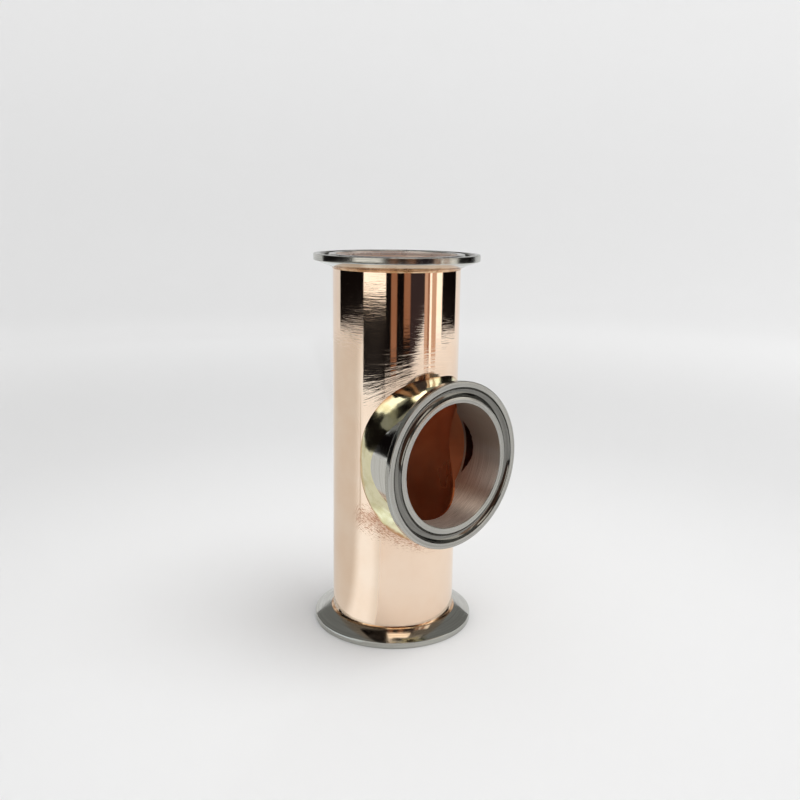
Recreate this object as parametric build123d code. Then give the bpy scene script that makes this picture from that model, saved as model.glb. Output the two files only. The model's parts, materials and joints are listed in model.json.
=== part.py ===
from build123d import *
import math
import os

# Clamp face of each port, in millimetres, from the bore outwards
bore_diameter = 47.7
inner_land_width = 2.25
groove_width = 3.7
groove_depth = 1.5
outer_land_width = 2.2
bore_edge_radius = 0.25

# Rim and back cone of each port
rim_thickness = 2.4
rim_edge_radius = 0.3
back_cone_angle = 20.0

# Run tube
tube_wall = 0.8
overall_height = 148.5

# Sockets that take the ends of the run tube
socket_depth = 2.9
socket_clearance = 0.05
hub_wall = 0.7
ring_braze_height = 0.9
ring_braze_waist = 0.65

# Side branch
branch_height = 72.0
neck_wall = 1.55
neck_root_radius = 0.8
crotch_gap = 6.15

# Lip drawn out of the tube around the side hole
lip_wall = 0.95
lip_draw_in = 2.8
lip_overlap = 1.6

# Braze fillet around the branch
fillet_stop = 0.2
fillet_climb = 6.6
fillet_side_setback = 1.25
fillet_squareness = 2.7
fillet_lean = 1.1
fillet_side_share = 0.55
fillet_crotch_share = 0.25
fillet_bite = 1.0
fillet_bury = 4.0
fillet_core_share = 0.8
fillet_sections = 24

# Two points closer than this are the same corner of an outline
same_point = 1e-6

# Radii and heights that follow from the sizes above
bore_radius = bore_diameter / 2
groove_inner_radius = bore_radius + inner_land_width
groove_middle_radius = groove_inner_radius + groove_width / 2
flange_radius = groove_inner_radius + groove_width + outer_land_width
cone_slope = math.tan(math.radians(back_cone_angle))
tube_radius = bore_radius + tube_wall
socket_radius = tube_radius + socket_clearance
hub_radius = socket_radius + hub_wall
hub_height = rim_thickness + (flange_radius - hub_radius) * cone_slope
socket_floor = hub_height - socket_depth
neck_radius = bore_radius + neck_wall
neck_root_height = rim_thickness + (flange_radius - neck_radius) * cone_slope
branch_reach = tube_radius + crotch_gap + neck_root_height
seam_radius = tube_radius + crotch_gap - fillet_stop
lip_end = math.sqrt(seam_radius**2 - neck_radius**2) - lip_overlap

# Where each port's face lies, with the plane's normal pointing into the fitting
bottom_port = Plane(origin=(0, 0, 0), x_dir=(1, 0, 0), z_dir=(0, 0, 1))
top_port = Plane(origin=(0, 0, overall_height), x_dir=(1, 0, 0), z_dir=(0, 0, -1))
branch_port = Plane(origin=(branch_reach, 0, branch_height), x_dir=(0, 0, 1), z_dir=(-1, 0, 0))
branch_root = Plane(origin=(0, 0, branch_height), x_dir=(0, 0, 1), z_dir=(1, 0, 0))


def corners_at(section, *points):
    """Corners of a flat section that lie at the given (radius, height) points."""
    return [v for v in section.vertices() if any(math.dist((v.X, v.Y), p) < same_point for p in points)]


def port_section(outline):
    """Half section of a port from an outline of (radius, height) points, with its edges and groove."""
    section = make_face(Polyline(*outline, close=True))
    section = fillet(corners_at(section, (flange_radius, 0), (flange_radius, rim_thickness)), rim_edge_radius)
    section = fillet(corners_at(section, (bore_radius, 0)), bore_edge_radius)
    arc_radius = (groove_width**2 / 4 + groove_depth**2) / (2 * groove_depth)
    return section - Pos(groove_middle_radius, groove_depth - arc_radius) * Circle(arc_radius)


def spin(section):
    """Turn a flat section about the Z axis into a solid."""
    return revolve(Plane.XZ * section, Axis.Z)


def standing_cylinder(radius, length, start=0):
    """Cylinder that stands on the height given by start."""
    return Pos(0, 0, start) * Cylinder(radius, length, align=(Align.CENTER, Align.CENTER, Align.MIN))


def end_ferrule(port):
    """Ferrule for one end of the run: clamp face, rim, back cone and a socket for the tube."""
    outline = [
        (bore_radius, 0),
        (flange_radius, 0),
        (flange_radius, rim_thickness),
        (hub_radius, hub_height),
        (socket_radius, hub_height),
        (socket_radius, socket_floor),
        (bore_radius, socket_floor),
    ]
    return port * spin(port_section(outline))


def end_braze(port):
    """Thin ring of filler in the corner between the hub and the run tube."""
    foot = hub_radius - tube_radius
    corner = make_face(
        Polyline(
            (tube_radius, hub_height),
            (hub_radius, hub_height),
            (hub_radius - foot * ring_braze_waist, hub_height + ring_braze_height * (1 - ring_braze_waist)),
            (tube_radius, hub_height + ring_braze_height),
            close=True,
        )
    )
    return port * spin(corner)


def lip_body(wall):
    """Body of the drawn lip: narrower across the tube at its root, round where it meets the neck."""
    root_oval = Ellipse(bore_radius + wall, bore_radius + wall - lip_draw_in)
    round_end = Pos(0, 0, lip_end) * Circle(bore_radius + wall)
    return branch_root * loft([root_oval, round_end], ruled=True)


def run_tube():
    """Copper tube with its side hole and the lip drawn out around it."""
    tube_length = overall_height - 2 * socket_floor
    outside = standing_cylinder(tube_radius, tube_length, socket_floor) + lip_body(lip_wall)
    side_hole = lip_body(0) + branch_root * standing_cylinder(bore_radius, branch_reach - lip_end, lip_end)
    return outside - standing_cylinder(bore_radius, overall_height) - side_hole


def branch_blank():
    """Branch ferrule before its saddle is cut, with a straight neck that reaches the lip."""
    neck_end = branch_reach - lip_end
    outline = [
        (bore_radius, 0),
        (flange_radius, 0),
        (flange_radius, rim_thickness),
        (neck_radius, neck_root_height),
        (neck_radius, neck_end),
        (bore_radius, neck_end),
    ]
    section = port_section(outline)
    root = corners_at(section, (neck_radius, neck_root_height))
    return branch_port * spin(fillet(root, neck_root_radius))


def branch_ferrule():
    """Branch ferrule with its neck cut to sit on the tube."""
    return branch_blank() - standing_cylinder(tube_radius, overall_height)


def fillet_section(angle):
    """Closed outline of the braze in the half plane at this angle around the branch axis."""
    across = math.cos(angle)
    along = math.sin(angle)
    toe_across = tube_radius - fillet_side_setback
    toe_along = neck_radius + fillet_climb
    power = fillet_squareness
    toe_radius = (abs(across / toe_across) ** power + abs(along / toe_along) ** power) ** (-1 / power)
    toe = Vector(math.sqrt(tube_radius**2 - (toe_radius * across) ** 2), toe_radius)
    seam = Vector(math.sqrt(seam_radius**2 - (neck_radius * across) ** 2), neck_radius)
    share = fillet_side_share - (fillet_side_share - fillet_crotch_share) * along**2
    bend = Vector(toe.X + share * (seam.X - toe.X), neck_radius + fillet_lean)
    start = toe - (bend - toe).normalized() * fillet_bite
    end = seam + (seam - bend).normalized() * fillet_bite
    core_radius = bore_radius * fillet_core_share
    outline = [end, Vector(end.X, core_radius), Vector(start.X - fillet_bury, core_radius), start]

    def place(point):
        return Vector(point.X, point.Y * across, branch_height + point.Y * along)

    surface = Edge.make_bezier(place(start), place(bend), place(end))
    inside = [Edge.make_line(place(a), place(b)) for a, b in zip(outline, outline[1:])]
    return Wire([surface, *inside])


def branch_braze():
    """Braze fillet around the branch, freed of the tube, the lip and the ferrule that it joins."""
    turn = 2 * math.pi / fillet_sections
    sections = [fillet_section(turn * i) for i in range(fillet_sections)]
    swept = Solid.make_loft([*sections, sections[0]])
    core = branch_root * standing_cylinder(bore_radius + neck_wall / 2, branch_reach)
    return swept - standing_cylinder(tube_radius, overall_height) - lip_body(lip_wall) - branch_blank() - core


nodes = {
    "run_tube": run_tube(),
    "bottom_ferrule": end_ferrule(bottom_port),
    "top_ferrule": end_ferrule(top_port),
    "branch_ferrule": branch_ferrule(),
    "branch_braze": branch_braze(),
    "bottom_braze": end_braze(bottom_port),
    "top_braze": end_braze(top_port),
}
os.makedirs("parts", exist_ok=True)
for name, shape in nodes.items():
    export_step(shape, f"parts/{name}.step")
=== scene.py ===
import json
import math

import bpy
from mathutils import Matrix, Vector


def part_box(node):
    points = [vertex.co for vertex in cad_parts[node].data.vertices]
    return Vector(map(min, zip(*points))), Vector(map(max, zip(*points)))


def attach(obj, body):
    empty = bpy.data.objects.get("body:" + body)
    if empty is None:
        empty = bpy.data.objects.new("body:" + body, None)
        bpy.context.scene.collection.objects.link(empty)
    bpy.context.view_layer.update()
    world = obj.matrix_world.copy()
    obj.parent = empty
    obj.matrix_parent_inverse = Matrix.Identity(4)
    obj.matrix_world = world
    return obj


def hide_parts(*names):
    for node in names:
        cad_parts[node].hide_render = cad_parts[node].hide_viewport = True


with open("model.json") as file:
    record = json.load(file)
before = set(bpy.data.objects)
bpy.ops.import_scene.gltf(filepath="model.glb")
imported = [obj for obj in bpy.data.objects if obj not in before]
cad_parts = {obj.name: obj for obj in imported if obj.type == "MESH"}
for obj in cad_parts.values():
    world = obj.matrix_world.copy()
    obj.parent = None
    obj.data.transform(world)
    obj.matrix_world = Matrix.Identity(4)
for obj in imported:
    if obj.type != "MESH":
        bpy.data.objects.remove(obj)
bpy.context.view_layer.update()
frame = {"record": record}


# Run tube
# Thin copper tube. A small hole is cut in its side and the edge is drawn out into a short lip,
# which the branch is set on. Outside it is turned and buffed bright, inside it is left dull.
mm = 0.001
mounts = {mount["name"]: mount for mount in frame["record"]["mounts"]}
bore_radius = mounts["run_bore"]["dims"]["r_mm"] * mm
branch_reach, _, branch_height = mounts["branch_bore"]["pos_m"]
tube_low, tube_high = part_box("run_tube")
tube_radius = -tube_low.x
neck_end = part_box("branch_ferrule")[0].x
lip_wall = 0.95 * mm
lip_draw_in = 2.8 * mm
plain_tube_from_branch = 28 * mm
tube_sides = 512
tube_middle = (tube_low.z + tube_high.z) / 2
copper_wiped = (0.95, 0.80, 0.68, 1)
copper_pale = (0.95, 0.76, 0.60, 1)
copper_deep = (0.92, 0.70, 0.53, 1)
copper_scorched = (0.42, 0.17, 0.08, 1)
copper_dull = (0.74, 0.34, 0.17, 1)
copper_dull_dark = (0.56, 0.22, 0.10, 1)
cloud_scale = 60.0
turning_pitch = 0.35 * mm
turning_length = 12 * mm
turning_depth = 0.008 * mm
stroke_pitch = 0.9 * mm
stroke_length = 9 * mm
stroke_depth = 0.026 * mm
stroke_strength = 0.42
hand_stroke_strength = 0.48
hand_buffed_start = 56 * mm
hand_buffed_full = 32 * mm
scorch_start = 41 * mm
scorch_full = 28 * mm
scorch_top = -14 * mm
scorch_low = -24 * mm
speck_pitch = 0.22 * mm
speck_length = 1.2 * mm
speck_heat_gain = 0.24
speck_edge = (0.56, 0.78)
speck_strength = (0.02, 0.5, 0.0, 0.85)
haze_strength = (0.35, 1.1, 0.0, 0.45)
stain_scale = 45.0
wiped_start = 60 * mm
wiped_full = 70 * mm
mill_line_pitch = 0.6 * mm
mill_line_length = 10 * mm
mill_line_depth = 0.002 * mm
weld_distance = 0.002 * mm
clear_of_wall = 0.1 * mm


def pick(piece):
    """Select one piece alone."""
    bpy.ops.object.select_all(action="DESELECT")
    piece.select_set(True)
    bpy.context.view_layer.objects.active = piece


def turn(name, outline, sides):
    """Turn a closed outline of (radius, height) corners about the Z axis, ring by ring."""
    bpy.ops.object.select_all(action="DESELECT")
    radius, height = outline[0]
    bpy.ops.mesh.primitive_circle_add(vertices=sides, radius=radius, location=(0, 0, height))
    piece = bpy.context.object
    piece.name = name
    piece.data.name = name
    bpy.ops.object.transform_apply(location=True, rotation=True, scale=True)
    bpy.ops.object.mode_set(mode="EDIT")
    bpy.ops.mesh.select_all(action="SELECT")
    for next_radius, next_height in [*outline[1:], outline[0]]:
        grow = next_radius / radius
        rise = (0, 0, next_height - height)
        bpy.ops.mesh.extrude_edges_move(TRANSFORM_OT_translate={"value": rise})
        bpy.ops.transform.resize(value=(grow, grow, 1), center_override=(0, 0, 0))
        radius = next_radius
        height = next_height
    bpy.ops.mesh.select_all(action="SELECT")
    bpy.ops.mesh.remove_doubles(threshold=weld_distance)
    bpy.ops.mesh.normals_make_consistent(inside=False)
    bpy.ops.object.mode_set(mode="OBJECT")
    return piece


def place(piece, move=(0, 0, 0), turned=0):
    """Turn a piece about the Y axis and set it in its place, with the place kept in its mesh."""
    piece.rotation_euler = (0, turned, 0)
    piece.location = move
    pick(piece)
    bpy.ops.object.transform_apply(location=True, rotation=True, scale=True)


def round_bar(name, radius, start, end, sides):
    """Solid bar along the Z axis, used to cut or to add."""
    bpy.ops.object.select_all(action="DESELECT")
    middle = (0, 0, (start + end) / 2)
    bpy.ops.mesh.primitive_cylinder_add(vertices=sides, radius=radius, depth=end - start, location=middle)
    bar = bpy.context.object
    bar.name = name
    bpy.ops.object.transform_apply(location=True, rotation=True, scale=True)
    return bar


def lip_form(name, wall, end):
    """Solid along the X axis, oval at the tube's axis and round at its end, like the drawn lip."""
    bpy.ops.object.select_all(action="DESELECT")
    bpy.ops.mesh.primitive_circle_add(vertices=tube_sides, radius=bore_radius + wall, fill_type="NGON")
    form = bpy.context.object
    form.name = name
    narrow = (bore_radius + wall - lip_draw_in) / (bore_radius + wall)
    bpy.ops.object.mode_set(mode="EDIT")
    bpy.ops.mesh.select_all(action="SELECT")
    bpy.ops.transform.resize(value=(1, narrow, 1), center_override=(0, 0, 0))
    bpy.ops.mesh.extrude_region_move(TRANSFORM_OT_translate={"value": (0, 0, neck_end)})
    bpy.ops.transform.resize(value=(1, 1 / narrow, 1), center_override=(0, 0, neck_end))
    if end > neck_end:
        bpy.ops.mesh.extrude_region_move(TRANSFORM_OT_translate={"value": (0, 0, end - neck_end)})
    bpy.ops.mesh.select_all(action="SELECT")
    bpy.ops.mesh.normals_make_consistent(inside=False)
    bpy.ops.object.mode_set(mode="OBJECT")
    place(form, (0, 0, branch_height), math.pi / 2)
    return form


def work(piece, other, operation):
    """Cut the other solid out of a piece, or join it on, and throw the other away."""
    pick(piece)
    step = piece.modifiers.new("work", "BOOLEAN")
    step.operation = operation
    step.solver = "EXACT"
    step.object = other
    bpy.ops.object.modifier_apply(modifier=step.name)
    bpy.data.objects.remove(other)


def smooth(piece, angle):
    """Shade a piece smooth, with edges sharper than the angle left crisp."""
    pick(piece)
    bpy.ops.object.shade_smooth_by_angle(angle=math.radians(angle))


def node(tree, kind, settings=None, **sockets):
    """Add a shader node. A socket takes a plain value or another node's output."""
    made = tree.nodes.new(kind)
    for setting, value in (settings or {}).items():
        setattr(made, setting, value)
    for socket, value in sockets.items():
        if socket[1:].isdigit():
            target = made.inputs[int(socket[1:])]
        else:
            target = made.inputs[socket.replace("_", " ")]
        if isinstance(value, bpy.types.NodeSocket):
            tree.links.new(value, target)
        else:
            target.default_value = value
    return made


def give(tree, shader, **sockets):
    """Feed outputs of other nodes into a shader's sockets."""
    for socket, value in sockets.items():
        tree.links.new(value, shader.inputs[socket.replace("_", " ")])


def own_place(tree):
    """The piece's own coordinates."""
    return node(tree, "ShaderNodeTexCoord").outputs["Object"]


def maths(tree, operation, first, second=0.0):
    """One sum on two values."""
    return node(tree, "ShaderNodeMath", {"operation": operation}, i0=first, i1=second).outputs[0]


def fade(tree, value, start, end, low=0.0, high=1.0):
    """A value that goes smoothly from low at start to high at end."""
    settings = {"interpolation_type": "SMOOTHSTEP"}
    made = node(tree, "ShaderNodeMapRange", settings, Value=value, From_Min=start, From_Max=end)
    made.inputs["To Min"].default_value = low
    made.inputs["To Max"].default_value = high
    return made.outputs["Result"]


def noise(tree, vector, scale, detail=2.0, roughness=0.5):
    """Soft noise, from 0 to 1 about a middle of one half."""
    made = node(tree, "ShaderNodeTexNoise", Vector=vector, Scale=scale, Detail=detail, Roughness=roughness)
    return made.outputs["Fac"]


def blend(tree, share, first, second):
    """Colour between a first and a second one."""
    made = node(tree, "ShaderNodeMix", {"data_type": "RGBA"}, i0=share, i6=first, i7=second)
    return made.outputs[2]


def relief(tree, height, depth, strength=1.0, **under):
    """Fine relief of one depth, which may lie over another that is given as Normal."""
    bump = node(tree, "ShaderNodeBump", Height=height, Distance=depth, Strength=strength, **under)
    return bump.outputs[0]


def metal(name):
    """Start a metal finish. Gives its nodes and its shader."""
    finish = bpy.data.materials.new(name)
    finish.use_nodes = True
    shader = finish.node_tree.nodes["Principled BSDF"]
    shader.inputs["Metallic"].default_value = 1.0
    return finish, finish.node_tree, shader


def around(tree, centre=(0, 0, 0), turned=0.0):
    """Place along and beside a turning axis, and the distance from it."""
    settings = {"vector_type": "TEXTURE"}
    own = own_place(tree)
    local = node(tree, "ShaderNodeMapping", settings, Vector=own, Location=centre, Rotation=(0, turned, 0))
    parts = node(tree, "ShaderNodeSeparateXYZ", Vector=local.outputs[0]).outputs
    flat = node(tree, "ShaderNodeCombineXYZ", X=parts["X"], Y=parts["Y"]).outputs[0]
    distance = node(tree, "ShaderNodeVectorMath", {"operation": "LENGTH"}, i0=flat).outputs["Value"]
    return parts, distance


def lathe_lines(tree, parts, across, pitch, length):
    """Noise in fine lines that keep one value of across, of one pitch and one rough length."""
    across = maths(tree, "DIVIDE", across, pitch)
    first = maths(tree, "DIVIDE", parts["X"], length)
    second = maths(tree, "DIVIDE", parts["Y"], length)
    vector = node(tree, "ShaderNodeCombineXYZ", X=across, Y=first, Z=second).outputs[0]
    return noise(tree, vector, 1.0, 2.0, 0.6)


def polished_copper():
    """Bright copper with the fine lines of turning and buffing, and scorched below the branch."""
    finish, tree, shader = metal("polished copper")
    parts, _ = around(tree)
    clouds = noise(tree, own_place(tree), cloud_scale, 3.0)
    above_branch = maths(tree, "SUBTRACT", parts["Z"], branch_height)
    aside = maths(tree, "POWER", parts["Y"], 2.0)
    from_branch = maths(tree, "SQRT", maths(tree, "ADD", maths(tree, "POWER", above_branch, 2.0), aside))
    front = fade(tree, parts["X"], 2 * mm, 8 * mm)
    by_hand = maths(tree, "MULTIPLY", fade(tree, from_branch, hand_buffed_start, hand_buffed_full), front)
    upper = maths(tree, "ADD", from_branch, branch_height)
    lower = maths(tree, "SUBTRACT", branch_height, from_branch)
    is_above = maths(tree, "GREATER_THAN", parts["Z"], branch_height)
    ringed = node(tree, "ShaderNodeMix", i0=is_above, i2=lower, i3=upper).outputs[0]
    across = node(tree, "ShaderNodeMix", i0=by_hand, i2=parts["Z"], i3=ringed).outputs[0]
    turning = lathe_lines(tree, parts, across, turning_pitch, turning_length)
    buffing = lathe_lines(tree, parts, across, stroke_pitch, stroke_length)
    near = fade(tree, from_branch, scorch_start, scorch_full)
    below = fade(tree, above_branch, scorch_top, scorch_low)
    heat = maths(tree, "MULTIPLY", maths(tree, "MULTIPLY", near, below), front)
    specks = lathe_lines(tree, parts, across, speck_pitch, speck_length)
    specks = maths(tree, "ADD", specks, maths(tree, "MULTIPLY", heat, speck_heat_gain))
    specks = maths(tree, "MULTIPLY", fade(tree, specks, *speck_edge), fade(tree, heat, *speck_strength))
    haze = fade(tree, heat, *haze_strength)
    scorch = maths(tree, "MAXIMUM", specks, haze)
    colour = blend(tree, fade(tree, clouds, 0.3, 0.7), copper_pale, copper_deep)
    colour = blend(tree, scorch, colour, copper_scorched)
    buffed = fade(tree, clouds, 0.25, 0.75, 0.05, 0.08)
    rough = maths(tree, "ADD", buffed, maths(tree, "MULTIPLY", scorch, 0.2))
    strength = maths(tree, "ADD", stroke_strength, maths(tree, "MULTIPLY", by_hand, hand_stroke_strength))
    strokes = relief(tree, buffing, stroke_depth, strength)
    lines = relief(tree, turning, turning_depth, Normal=strokes)
    give(tree, shader, Base_Color=colour, Roughness=rough, Normal=lines)
    return finish


def dull_copper():
    """Copper as it leaves the mill: red-brown and matt with darker stains, wiped at the tube's ends."""
    finish, tree, shader = metal("dull copper")
    shader.inputs["Metallic"].default_value = 0.7
    parts, _ = around(tree)
    stains = noise(tree, own_place(tree), stain_scale, 2.0)
    colour = blend(tree, fade(tree, stains, 0.35, 0.7), copper_dull, copper_dull_dark)
    from_middle = maths(tree, "ABSOLUTE", maths(tree, "SUBTRACT", parts["Z"], tube_middle))
    colour = blend(tree, fade(tree, from_middle, wiped_start, wiped_full), colour, copper_wiped)
    rough = fade(tree, stains, 0.3, 0.7, 0.26, 0.4)
    lines = lathe_lines(tree, parts, parts["Z"], mill_line_pitch, mill_line_length)
    drawn = relief(tree, lines, mill_line_depth, 0.5)
    give(tree, shader, Base_Color=colour, Roughness=rough, Normal=drawn)
    return finish


def ring_edges(piece, height):
    """Add a level ring of edges, which keeps the shading clean above and below a cut."""
    pick(piece)
    bpy.ops.object.mode_set(mode="EDIT")
    bpy.ops.mesh.select_all(action="SELECT")
    bpy.ops.mesh.bisect(plane_co=(0, 0, height), plane_no=(0, 0, 1))
    bpy.ops.object.mode_set(mode="OBJECT")


tube = round_bar("copper_tube", tube_radius, tube_low.z, tube_high.z, tube_sides)
tube.data.name = "copper_tube"
work(tube, lip_form("lip", lip_wall, neck_end), "UNION")
work(tube, round_bar("bore", bore_radius, tube_low.z - mm, tube_high.z + mm, tube_sides), "DIFFERENCE")
work(tube, lip_form("side_hole", 0, branch_reach), "DIFFERENCE")
ring_edges(tube, branch_height - plain_tube_from_branch)
ring_edges(tube, branch_height + plain_tube_from_branch)
smooth(tube, 30)
tube.data.materials.append(polished_copper())
tube.data.materials.append(dull_copper())
for face in tube.data.polygons:
    out = math.hypot(face.center.x, face.center.y)
    inward = face.normal.x * face.center.x + face.normal.y * face.center.y < -0.5 * out
    drawn = face.center.x > 0 and out > tube_radius + clear_of_wall
    face.material_index = 1 if inward or drawn else 0
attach(tube, "root")
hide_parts("run_tube")


# End ferrules
# Stainless clamp ferrules, turned from bar. The tube is brazed into a socket behind each rim.
# The rim and lands keep fine turning lines, and the clamp's back cone is left bright.
rim_radius = mounts["bottom_rim"]["dims"]["r_mm"] * mm
rim_thickness = 2.4 * mm
rim_edge = 0.3 * mm
bore_edge = 0.25 * mm
inner_land = 2.25 * mm
groove_width = 3.7 * mm
groove_depth = 1.5 * mm
cone_angle = 20
hub_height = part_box("bottom_ferrule")[1].z
top_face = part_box("top_ferrule")[1].z
hub_radius = rim_radius - (hub_height - rim_thickness) / math.tan(math.radians(cone_angle))
socket_floor = tube_low.z
socket_radius = tube_radius + 0.05 * mm
ferrule_sides = 256
neck_radius = bore_radius + 1.55 * mm
land_steel = ((0.50, 0.49, 0.455, 1), (0.34, 0.335, 0.31, 1))
side_steel = ((0.64, 0.635, 0.60, 1), (0.50, 0.495, 0.46, 1))
edge_steel = ((0.56, 0.56, 0.52, 1), (0.40, 0.40, 0.37, 1))
# The neck's pale tone is painted light on its mirror finish.
neck_steel_painted_light = ((0.74, 0.735, 0.69, 1), (0.61, 0.605, 0.565, 1))
# The groove's dark tone is painted shade in the recess of the clamp face.
groove_steel_painted_shade = ((0.25, 0.245, 0.225, 1), (0.15, 0.147, 0.135, 1))
# Bore tones of the ports: near white as a painted highlight, with warm lines as a painted reflection of
# the copper.
bore_painted_highlight_and_reflection = ((0.97, 0.96, 0.93, 1), (0.70, 0.60, 0.52, 1))
turned_line_pitch = 0.14 * mm
turned_line_length = 40 * mm
wear_scale = 140.0
port_finishes = (
    ("lands", land_steel, 0.2, 0.003 * mm, 1.0),
    ("groove", groove_steel_painted_shade, 0.12, 0.0008 * mm, 1.0),
    ("cone", side_steel, 0.11, 0.0008 * mm, 1.0),
    ("edge", edge_steel, 0.18, 0.003 * mm, 1.0),
    # Painted highlight and painted reflection in the bore, with less metallic shine.
    ("bore", bore_painted_highlight_and_reflection, 0.3, 0.002 * mm, 0.45),
)
eased_width = 0.09 * mm
just_off = 0.02 * mm
groove_top = 0.03 * mm
groove_foot = 1.6 * mm
cone_start = rim_thickness - 0.15 * mm


def arc(centre, radius, start, end, steps):
    """Points of an outline's arc about a (radius, height) centre, with its angles in degrees."""
    angles = [math.radians(start + (end - start) * step / steps) for step in range(steps + 1)]
    return [(centre[0] + radius * math.cos(a), centre[1] + radius * math.sin(a)) for a in angles]


def port_outline():
    """Outline of a port from its bore across the clamp face to the start of the back cone."""
    groove_middle = bore_radius + inner_land + groove_width / 2
    groove_radius = (groove_width**2 / 4 + groove_depth**2) / (2 * groove_depth)
    groove_centre = (groove_middle, groove_depth - groove_radius)
    lift = math.degrees(math.asin((groove_radius - groove_depth) / groove_radius))
    turn_back = 90 - cone_angle
    corner = rim_thickness - rim_edge * math.tan(math.radians(turn_back / 2))
    return [
        *arc((bore_radius + bore_edge, bore_edge), bore_edge, 180, 270, 5),
        *arc(groove_centre, groove_radius, 180 - lift, lift, 20),
        *arc((rim_radius - rim_edge, rim_edge), rim_edge, 270, 360, 5),
        *arc((rim_radius - rim_edge, corner), rim_edge, 0, turn_back, 4),
    ]


def ease_edges(piece):
    """Take the sharpness off a turned piece's corners, as a file does on the lathe."""
    pick(piece)
    step = piece.modifiers.new("edges", "BEVEL")
    step.limit_method = "ANGLE"
    step.angle_limit = math.radians(32)
    step.width = eased_width
    step.segments = 2
    bpy.ops.object.modifier_apply(modifier=step.name)


def turned_steel(name, tones, rough, depth, centre=(0, 0, 0), turned=0.0):
    """Stainless steel with turning lines round the port's axis and faint patches of wear."""
    finish, tree, shader = metal(name)
    parts, distance = around(tree, centre, turned)
    across = maths(tree, "ADD", distance, parts["Z"])
    lines = lathe_lines(tree, parts, across, turned_line_pitch, turned_line_length)
    patches = noise(tree, own_place(tree), wear_scale, 3.0)
    colour = blend(tree, fade(tree, lines, 0.35, 0.65), tones[1], tones[0])
    worn = fade(tree, patches, 0.3, 0.7, rough - 0.05, rough + 0.06)
    give(tree, shader, Base_Color=colour, Roughness=worn, Normal=relief(tree, lines, depth))
    return finish


end_outline = [
    *port_outline(),
    (hub_radius, hub_height),
    (socket_radius, hub_height),
    (socket_radius, socket_floor),
    (bore_radius, socket_floor),
]


def finish_port(piece, face_middle, inwards, *centring):
    """Give the lands, the groove, the cone, the rim's side and the bore their own turned finishes."""
    for part, tones, rough, line_depth, metallic in port_finishes:
        part_finish = turned_steel(f"{piece.name}_{part}", tones, rough, line_depth, *centring)
        part_finish.node_tree.nodes["Principled BSDF"].inputs["Metallic"].default_value = metallic
        piece.data.materials.append(part_finish)
    parts = [part for part, *_ in port_finishes]
    groove_start = bore_radius + inner_land
    groove_end = groove_start + groove_width
    for face in piece.data.polygons:
        depth = (face.center - face_middle).dot(inwards)
        from_axis = (face.center - face_middle - inwards * depth).length
        if groove_start < from_axis < groove_end and groove_top < depth < groove_foot:
            face.material_index = parts.index("groove")
        if from_axis > neck_radius and depth > cone_start:
            face.material_index = parts.index("cone")
        if from_axis > rim_radius - just_off:
            face.material_index = parts.index("edge")
        if from_axis < bore_radius + just_off and depth > bore_edge:
            face.material_index = parts.index("bore")


for name, node_name, face_height, inwards in (
    ("lower_clamp_ferrule", "bottom_ferrule", 0, 1),
    ("upper_clamp_ferrule", "top_ferrule", top_face, -1),
):
    ferrule = turn(name, end_outline, ferrule_sides)
    ease_edges(ferrule)
    if inwards < 0:
        place(ferrule, (0, 0, face_height), math.pi)
    smooth(ferrule, 30)
    finish_port(ferrule, Vector((0, 0, face_height)), Vector((0, 0, inwards)))
    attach(ferrule, "root")
    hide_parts(node_name)


# End rings of filler
# Thin ring of brazing filler that has run into the corner between each hub and the tube. Its
# brown is painted shade, the dark line of shade in that corner.
ring_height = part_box("bottom_braze")[1].z - hub_height
ring_waist = 0.65
ring_light = (0.80, 0.56, 0.36, 1)
# This brown is painted shade at the end rings, and heat browning at the branch fillet's toe.
root_shade_and_heat_brown = (0.50, 0.27, 0.13, 1)
ring_patch_scale = 220.0


def end_ring_painted_shade_filler():
    """Filler of the end rings, buffed thin, its brown a painted shade of the corner it fills."""
    finish, tree, shader = metal("end ring filler with painted shade")
    patches = noise(tree, own_place(tree), ring_patch_scale, 3.0)
    colour = blend(tree, fade(tree, patches, 0.35, 0.65), ring_light, root_shade_and_heat_brown)
    give(tree, shader, Base_Color=colour, Roughness=fade(tree, patches, 0.3, 0.7, 0.15, 0.3))
    return finish


ring_finish = end_ring_painted_shade_filler()
ring_foot = hub_radius - tube_radius
ring_outline = [
    (tube_radius, hub_height),
    (hub_radius, hub_height),
    (hub_radius - ring_foot * ring_waist, hub_height + ring_height * (1 - ring_waist)),
    (tube_radius, hub_height + ring_height),
]
for name, node_name, upside_down in (
    ("lower_filler_ring", "bottom_braze", False),
    ("upper_filler_ring", "top_braze", True),
):
    ring = turn(name, ring_outline, tube_sides)
    if upside_down:
        place(ring, (0, 0, top_face), math.pi)
    smooth(ring, 60)
    ring.data.materials.append(ring_finish)
    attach(ring, "root")
    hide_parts(node_name)


# Branch ferrule
# Stainless clamp ferrule with a short neck, cut to a saddle that sits on the tube and its lip.
# The neck is buffed to a mirror, the face and bore keep their turning lines.
neck_root = rim_thickness + (rim_radius - neck_radius) * math.tan(math.radians(cone_angle))
neck_root_radius = 0.8 * mm
root_rise = neck_root_radius * math.tan(math.radians((90 - cone_angle) / 2))
neck_root_centre = (neck_radius + neck_root_radius, neck_root + root_rise)
# Painted shadow: a near-black crescent in the bore beside the lip, where the lip's edge stands off the
# bore wall.
gap_shadow_half_angle = math.radians(28)
gap_shadow_start = neck_end + 1.0 * mm
gap_shadow_width = 4.2 * mm
gap_shadow_colour = (0.03, 0.015, 0.02, 1)
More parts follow.
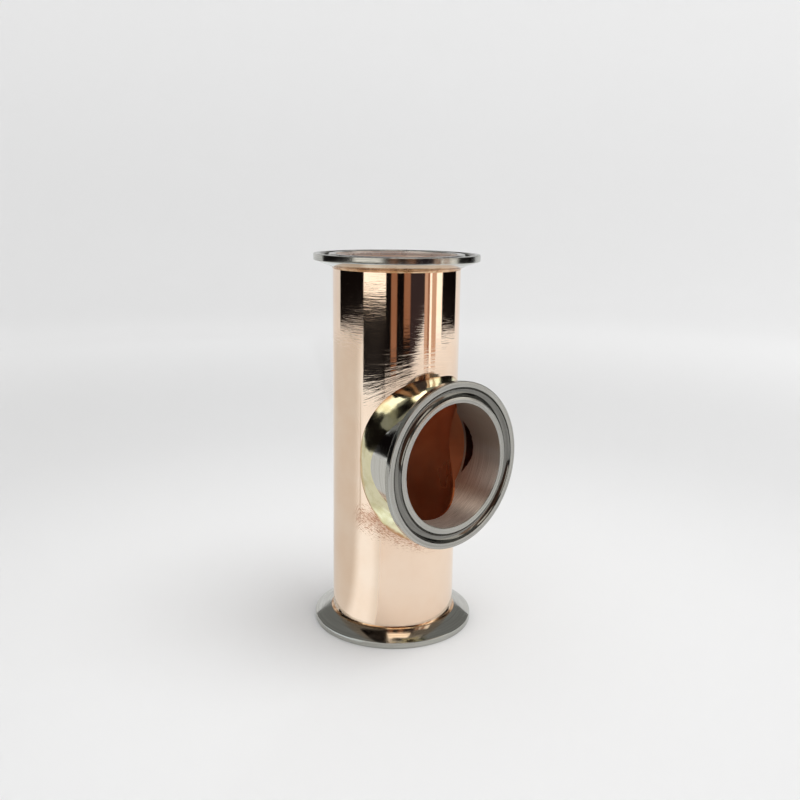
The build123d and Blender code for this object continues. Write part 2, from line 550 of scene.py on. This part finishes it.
# The bore's pale lines are near white as a painted highlight, and its top tone is painted shade.
bore_light = (0.97, 0.91, 0.84, 1)
bore_dark = (0.62, 0.56, 0.50, 1)
bore_painted_shade = (0.30, 0.23, 0.18, 1)
ragged_scale = 700.0
gap_shadow_ragged = 1.2 * mm
gap_shadow_edge_start = 0.9 * mm
gap_shadow_edge_end = 0.2 * mm
gap_shadow_fade_in = 0.4 * mm
painted_shade_start = -13 * mm
painted_shade_full = 6 * mm
brush_pitch = 0.1 * mm
brush_length = 5 * mm
brush_depth = 0.004 * mm
neck_line_depth = 0.0005 * mm
neck_finish_number = len(port_finishes)
bore_finish_number = neck_finish_number + 1
branch_outline = [
    *port_outline(),
    *arc(neck_root_centre, neck_root_radius, 270 - cone_angle, 180, 6),
    (neck_radius, branch_reach - neck_end),
    (bore_radius, branch_reach - neck_end),
]


def bore_with_painted_shade():
    """Brushed steel of the branch's bore, with painted shade towards the top and a dark painted shadow
    beside the lip.
    """
    finish, tree, shader = metal("bore steel of the branch")
    shader.inputs["Metallic"].default_value = 0.95
    shader.inputs["Anisotropic"].default_value = 0.9
    shader.inputs["Anisotropic Rotation"].default_value = 0.25
    brushed = node(tree, "ShaderNodeTangent", {"direction_type": "RADIAL", "axis": "X"}).outputs[0]
    parts, _ = around(tree)
    # Painted shadow beside the lip, a crescent widest at the bore's sides.
    up = maths(tree, "SUBTRACT", parts["Z"], branch_height)
    angle = maths(tree, "ARCTAN2", up, maths(tree, "ABSOLUTE", parts["Y"]))
    angle = maths(tree, "DIVIDE", angle, gap_shadow_half_angle)
    bulge = maths(tree, "SUBTRACT", 1.0, maths(tree, "POWER", angle, 2.0))
    edge = maths(tree, "ADD", gap_shadow_start, maths(tree, "MULTIPLY", bulge, gap_shadow_width))
    ragged = maths(tree, "MULTIPLY", noise(tree, own_place(tree), ragged_scale), gap_shadow_ragged)
    past = maths(tree, "SUBTRACT", maths(tree, "ADD", parts["X"], ragged), edge)
    before_edge = fade(tree, past, gap_shadow_edge_start, gap_shadow_edge_end)
    past_lip = fade(tree, parts["X"], gap_shadow_start, gap_shadow_start + gap_shadow_fade_in)
    gap_shadow = maths(tree, "MULTIPLY", before_edge, past_lip)
    lines = lathe_lines(tree, parts, parts["X"], brush_pitch, brush_length)
    colour = blend(tree, fade(tree, lines, 0.35, 0.65), bore_dark, bore_light)
    # Painted shade: the bore darker and browner towards its top.
    colour = blend(tree, fade(tree, up, painted_shade_start, painted_shade_full, 0.0, 0.95), colour, bore_painted_shade)
    colour = blend(tree, gap_shadow, colour, gap_shadow_colour)
    rough = fade(tree, gap_shadow, 0.0, 1.0, 0.46, 0.2)
    fine = relief(tree, lines, brush_depth)
    give(tree, shader, Base_Color=colour, Roughness=rough, Tangent=brushed, Normal=fine)
    return finish


branch = turn("branch_clamp_ferrule", branch_outline, ferrule_sides)
ease_edges(branch)
place(branch, (branch_reach, 0, branch_height), -math.pi / 2)
work(branch, round_bar("saddle", tube_radius, 0, tube_high.z, tube_sides), "DIFFERENCE")
smooth(branch, 30)
branch_axis = ((0, 0, branch_height), math.pi / 2)
finish_port(branch, Vector((branch_reach, 0, branch_height)), Vector((-1, 0, 0)), *branch_axis)
branch.data.materials.append(turned_steel("branch_neck", neck_steel_painted_light, 0.08, neck_line_depth, *branch_axis))
branch.data.materials.append(bore_with_painted_shade())
for face in branch.data.polygons:
    from_axis = math.hypot(face.center.y, face.center.z - branch_height)
    on_neck = face.center.x < branch_reach - neck_root and from_axis > neck_radius - clear_of_wall
    in_bore = face.center.x < branch_reach - bore_edge and from_axis < bore_radius + just_off
    if on_neck:
        face.material_index = neck_finish_number
    elif in_bore:
        face.material_index = bore_finish_number
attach(branch, "root")
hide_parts("branch_ferrule")


# Branch fillet
# Thick fillet of pale brazing filler round the foot of the branch. It climbs the tube above and
# below the neck, wraps over the drawn lip at its sides, and is ground and buffed smooth.
crotch_gap = 6.15 * mm
seam_radius = tube_radius + crotch_gap - 0.2 * mm
toe_across = tube_radius - 1.25 * mm
toe_along = neck_radius + 6.6 * mm
toe_squareness = 2.7
fillet_lean = 1.1 * mm
side_share = 0.55
crotch_share = 0.25
fillet_bite = 1.0 * mm
fillet_bury = 4.0 * mm
fillet_core = 0.8 * bore_radius
fillet_turns = 256
surface_steps = 28
filler_pale = (0.90, 0.85, 0.58, 1)
filler_deep = (0.72, 0.66, 0.38, 1)
toe_line_start = tube_radius + 0.35 * mm
toe_line_end = tube_radius + 0.75 * mm
toe_line_ragged = 0.8 * mm
wave_scale = 180.0
wave_height = 0.3 * mm
plug_overlap = 0.02 * mm


def braze_filler(name):
    """Pale yellow filler, ground and buffed smooth, with slight waves and a brown line at its toe."""
    finish, tree, shader = metal(name)
    patches = noise(tree, own_place(tree), wave_scale, 3.0)
    waves = noise(tree, own_place(tree), wave_scale, 1.0)
    _, distance = around(tree)
    ragged = maths(tree, "ADD", distance, maths(tree, "MULTIPLY", patches, toe_line_ragged))
    toe = fade(tree, ragged, toe_line_end, toe_line_start)
    colour = blend(tree, fade(tree, patches, 0.4, 0.75), filler_pale, filler_deep)
    colour = blend(tree, toe, colour, root_shade_and_heat_brown)
    rough = fade(tree, patches, 0.3, 0.7, 0.08, 0.2)
    give(tree, shader, Base_Color=colour, Roughness=rough, Normal=relief(tree, waves, wave_height))
    return finish


def fillet_section(angle):
    """Outline of the fillet in the half plane at an angle round the branch axis, as (x, radius)."""
    across = math.cos(angle)
    along = math.sin(angle)
    square = abs(across / toe_across) ** toe_squareness + abs(along / toe_along) ** toe_squareness
    toe_radius = square ** (-1 / toe_squareness)
    toe = Vector((math.sqrt(tube_radius**2 - (toe_radius * across) ** 2), toe_radius))
    seam = Vector((math.sqrt(seam_radius**2 - (neck_radius * across) ** 2), neck_radius))
    share = side_share - (side_share - crotch_share) * along**2
    bend = Vector((toe.x + share * (seam.x - toe.x), neck_radius + fillet_lean))
    start = toe - (bend - toe).normalized() * fillet_bite
    end = seam + (seam - bend).normalized() * fillet_bite
    steps = [step / surface_steps for step in range(surface_steps + 1)]
    surface = [start * (1 - t) ** 2 + bend * 2 * t * (1 - t) + end * t**2 for t in steps]
    return [*surface, Vector((end.x, fillet_core)), Vector((start.x - fillet_bury, fillet_core))]


section_size = surface_steps + 3
bpy.ops.object.select_all(action="DESELECT")
bpy.ops.mesh.primitive_torus_add(
    major_segments=fillet_turns,
    minor_segments=section_size,
    major_radius=neck_radius,
    minor_radius=fillet_bury,
)
fillet = bpy.context.object
fillet.name = "branch_fillet"
fillet.data.name = "branch_fillet"
for turn_number in range(fillet_turns):
    angle = 2 * math.pi * turn_number / fillet_turns
    for corner_number, corner in enumerate(fillet_section(angle)):
        spot = Vector((corner.x, corner.y * math.cos(angle), branch_height + corner.y * math.sin(angle)))
        fillet.data.vertices[turn_number * section_size + corner_number].co = spot
bpy.ops.object.mode_set(mode="EDIT")
bpy.ops.mesh.select_all(action="SELECT")
bpy.ops.mesh.normals_make_consistent(inside=False)
bpy.ops.object.mode_set(mode="OBJECT")
neck_plug = round_bar("neck_plug", neck_radius, neck_end - plug_overlap, branch_reach, ferrule_sides)
place(neck_plug, (0, 0, branch_height), math.pi / 2)
work(fillet, round_bar("tube_plug", tube_radius, 0, tube_high.z, tube_sides), "DIFFERENCE")
work(fillet, lip_form("lip_plug", lip_wall, neck_end), "DIFFERENCE")
work(fillet, neck_plug, "DIFFERENCE")
smooth(fillet, 40)
fillet.data.materials.append(braze_filler("braze filler"))
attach(fillet, "root")
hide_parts("branch_braze")


# Viewpoint
# A phone held close to the fitting and a little above its top, looking down on the branch. Its
# place and lens were fitted to the rims, the bore and the tube's edges in the photo.
view_azimuth = math.radians(49.914)
view_pitch = math.radians(12.235)
view_roll = math.radians(0.777)
eye = Vector((266.39, -221.72, 166.14)) * mm
ahead = Vector((
    -math.sin(view_azimuth) * math.cos(view_pitch),
    math.cos(view_azimuth) * math.cos(view_pitch),
    -math.sin(view_pitch),
))
level = Vector((math.cos(view_azimuth), math.sin(view_azimuth), 0))
above = level.cross(ahead)
right = math.cos(view_roll) * level + math.sin(view_roll) * above
up = math.cos(view_roll) * above - math.sin(view_roll) * level
lens = bpy.data.cameras.new("phone")
lens.sensor_width = 36
lens.lens = 40.15
lens.clip_start = 0.01
camera = bpy.data.objects.new("phone", lens)
camera.matrix_world = Matrix((
    (right.x, up.x, -ahead.x, eye.x),
    (right.y, up.y, -ahead.y, eye.y),
    (right.z, up.z, -ahead.z, eye.z),
    (0, 0, 0, 1),
))
bpy.context.collection.objects.link(camera)
bpy.context.scene.camera = camera


# Paper sweep
# Pale paper that lies flat round the fitting and curves up far behind it on every side. Its tone
# is painted shade: darkest where the floor runs back, and paler again up the wall.
paper_flat = 1.1
paper_curve = 0.9
paper_height = 2.4
near_shade = (0.08, 0.34, 0.79, 0.695)
far_shade = (0.38, 0.95, 0.0, 0.165)
wall_shade = (0.05, 0.8, 0.0, 0.13)
paper_corners = [(0.002, 0), (paper_flat, 0)]
paper_corners += arc((paper_flat, paper_curve), paper_curve, 270, 360, 16)[1:]
paper_corners += [(paper_flat + paper_curve, paper_height)]
bpy.ops.object.select_all(action="DESELECT")
bpy.ops.mesh.primitive_circle_add(vertices=128, radius=paper_corners[0][0], fill_type="NGON")
paper = bpy.context.object
paper.name = "paper_sweep"
bpy.ops.object.mode_set(mode="EDIT")
bpy.ops.mesh.select_all(action="SELECT")
last_radius, last_height = paper_corners[0]
for radius, height in paper_corners[1:]:
    grow = radius / last_radius
    bpy.ops.mesh.extrude_region_move(TRANSFORM_OT_translate={"value": (0, 0, height - last_height)})
    bpy.ops.transform.resize(value=(grow, grow, 1), center_override=(0, 0, 0))
    last_radius = radius
    last_height = height
bpy.ops.mesh.delete(type="ONLY_FACE")
bpy.ops.object.mode_set(mode="OBJECT")
smooth(paper, 60)
paper_finish = bpy.data.materials.new("paper")
paper_finish.use_nodes = True
paper_shader = paper_finish.node_tree.nodes["Principled BSDF"]
paper_tree = paper_finish.node_tree
paper_parts, paper_distance = around(paper_tree)
# Painted shade: the paper darkens a little away from the fitting, then pales towards the curve and up the
# wall.
near_tone = fade(paper_tree, paper_distance, *near_shade)
far_tone = fade(paper_tree, paper_distance, *far_shade)
wall_tone = fade(paper_tree, paper_parts["Z"], *wall_shade)
floor_tone = maths(paper_tree, "ADD", near_tone, far_tone)
give(paper_tree, paper_shader, Base_Color=maths(paper_tree, "ADD", floor_tone, wall_tone))
paper_shader.inputs["Roughness"].default_value = 0.6
paper_shader.inputs["Specular IOR Level"].default_value = 0.1
paper.data.materials.append(paper_finish)


# Light
# One wide soft lamp overhead and an even pale room. The metal mirrors a greyer room than the one
# that lights the paper.
room_pale = (0.8, 0.8, 0.8, 1)
ceiling_grey = (0.24, 0.24, 0.23, 1)
world = bpy.data.worlds.new("room")
bpy.context.scene.world = world
world.use_nodes = True
room = world.node_tree.nodes["Background"]
mirrored = node(world.node_tree, "ShaderNodeLightPath").outputs["Is Glossy Ray"]
give(world.node_tree, room, Color=blend(world.node_tree, mirrored, room_pale, ceiling_grey))
lamp = bpy.data.lights.new("soft_lamp", "AREA")
lamp.shape = "DISK"
lamp.size = 1.1
lamp.energy = 11.5
lamp_object = bpy.data.objects.new("soft_lamp", lamp)
lamp_object.location = (0.42, 0.34, 1.5)
bpy.context.collection.objects.link(lamp_object)
lamp_object.visible_glossy = False


# Cards
# What the bright metal mirrors: the dark room beyond the paper, one window and warm strips.
# Angles go round the fitting from the camera's side, to the right; heights are above the floor.
card_distance = 0.56
black = (0.004, 0.003, 0.003)
brown = (0.30, 0.15, 0.09)
peach = (0.60, 0.40, 0.30)
purple = (0.035, 0.025, 0.028)
bright = (1.35, 1.30, 1.22)
card_steps = 48
cards = (
    ("dark_left", -118, -59, 0.050, 0.36, black),
    ("window", -59, -18, 0.082, 0.50, bright),
    ("dark_under_window", -59, -18, 0.000, 0.082, black),
    ("dark_beside_window", -18, -9, 0.000, 0.80, black),
    ("brown_strip", -9, 1, 0.018, 0.80, brown),
    ("dark_under_brown", -9, 1, 0.000, 0.018, black),
    ("dark_middle", 1, 13, 0.004, 0.80, black),
    ("second_brown_strip", 13, 24, 0.045, 0.80, brown),
    ("dark_under_second", 13, 24, 0.006, 0.045, black),
    *[
        (f"purple_dark_{step}", 24 + 2 * step, 26 + 2 * step, 0.006 + 0.004 * step, 0.80, purple)
        for step in range(13)
    ],
    ("peach_edge", 50, 56, 0.020, 0.60, peach),
    ("brown_line", 56, 60, 0.020, 0.60, brown),
    ("white_line", 60, 64, 0.020, 0.60, bright),
    ("peach_strip", 64, 74, 0.020, 0.60, peach),
    ("white_strip", 74, 87, 0.046, 0.60, bright),
    ("dark_right", 87, 130, 0.046, 0.36, black),
)
camera_angle = math.atan2(eye.y, eye.x)


def spin_card(name, mesh, start, end, colour):
    """Sweep a card's one edge round the fitting, glowing, and let only mirrored light see it."""
    card = bpy.data.objects.new(name, mesh)
    bpy.context.collection.objects.link(card)
    pick(card)
    bpy.ops.object.mode_set(mode="EDIT")
    bpy.ops.mesh.select_all(action="SELECT")
    bpy.ops.mesh.spin(steps=card_steps, angle=math.radians(start - end), center=(0, 0, 0), axis=(0, 0, 1))
    bpy.ops.object.mode_set(mode="OBJECT")
    glow = bpy.data.materials.new(name)
    glow.use_nodes = True
    glow.node_tree.nodes.remove(glow.node_tree.nodes["Principled BSDF"])
    shine = node(glow.node_tree, "ShaderNodeEmission", Color=(*colour, 1))
    give(glow.node_tree, glow.node_tree.nodes["Material Output"], Surface=shine.outputs[0])
    card.data.materials.append(glow)
    card.visible_camera = False
    card.visible_diffuse = False
    card.visible_shadow = False
    card.visible_transmission = False
    return glow.node_tree, shine


for name, start, end, bottom, top, colour in cards:
    first = camera_angle + math.radians(start)
    corner = (card_distance * math.cos(first), card_distance * math.sin(first))
    mesh = bpy.data.meshes.new(name)
    mesh.from_pydata([(*corner, bottom), (*corner, top)], [(0, 1)], [])
    spin_card(name, mesh, start, end, colour)


# Reflected ceiling and floor glare
# A grey ceiling with one dark part and one lit part, and the window's soft glare on dimmer paper.
# Only mirrored light sees them, as with the cards that stand up.
ceiling_height = 0.78
ceiling_part_height = ceiling_height - 0.01
paper_lift = 0.0006
paper_dim = (0.66, 0.65, 0.63, 1)
paper_glare = (1.00, 1.06, 1.10, 1)
glare_left_edge = (-76, -54)
glare_right_edge = (-22, -38)
glare_behind = (-134, -172)
flat_cards = (
    ("ceiling", -180, 180, 0.001, 2.20, ceiling_height, (0.20, 0.20, 0.19)),
    ("dark_ceiling", -80, -13, 0.001, 0.70, ceiling_part_height, black),
    ("ceiling_lamp", -13, 46, 0.16, 0.60, ceiling_part_height, (2.0, 1.85, 1.65)),
    ("dark_floor", -59, -18, 0.51, 0.57, 2 * paper_lift, black),
    ("floor_glare", -172, -22, 0.034, 0.80, paper_lift, paper_dim[:3]),
)
for name, start, end, near_edge, far_edge, height, colour in flat_cards:
    mesh = bpy.data.meshes.new(name)
    first = camera_angle + math.radians(start)
    towards = Vector((math.cos(first), math.sin(first), 0))
    lift = Vector((0, 0, height))
    mesh.from_pydata([towards * near_edge + lift, towards * far_edge + lift], [(0, 1)], [])
    glow_tree, shine = spin_card(name, mesh, start, end, colour)
settings = {"vector_type": "TEXTURE"}
rotation = (0, 0, camera_angle)
turned = node(glow_tree, "ShaderNodeMapping", settings, Vector=own_place(glow_tree), Rotation=rotation)
glow_parts = node(glow_tree, "ShaderNodeSeparateXYZ", Vector=turned.outputs[0]).outputs
glow_angle = maths(glow_tree, "ARCTAN2", glow_parts["Y"], glow_parts["X"])
glare_left = fade(glow_tree, glow_angle, *map(math.radians, glare_left_edge))
glare_right = fade(glow_tree, glow_angle, *map(math.radians, glare_right_edge), 0.5)
behind = fade(glow_tree, glow_angle, *map(math.radians, glare_behind), 0.0, 0.5)
glare_share = maths(glow_tree, "ADD", maths(glow_tree, "MULTIPLY", glare_left, glare_right), behind)
give(glow_tree, shine, Color=blend(glow_tree, glare_share, paper_dim, paper_glare))

bpy.context.scene.view_settings.view_transform = "Standard"
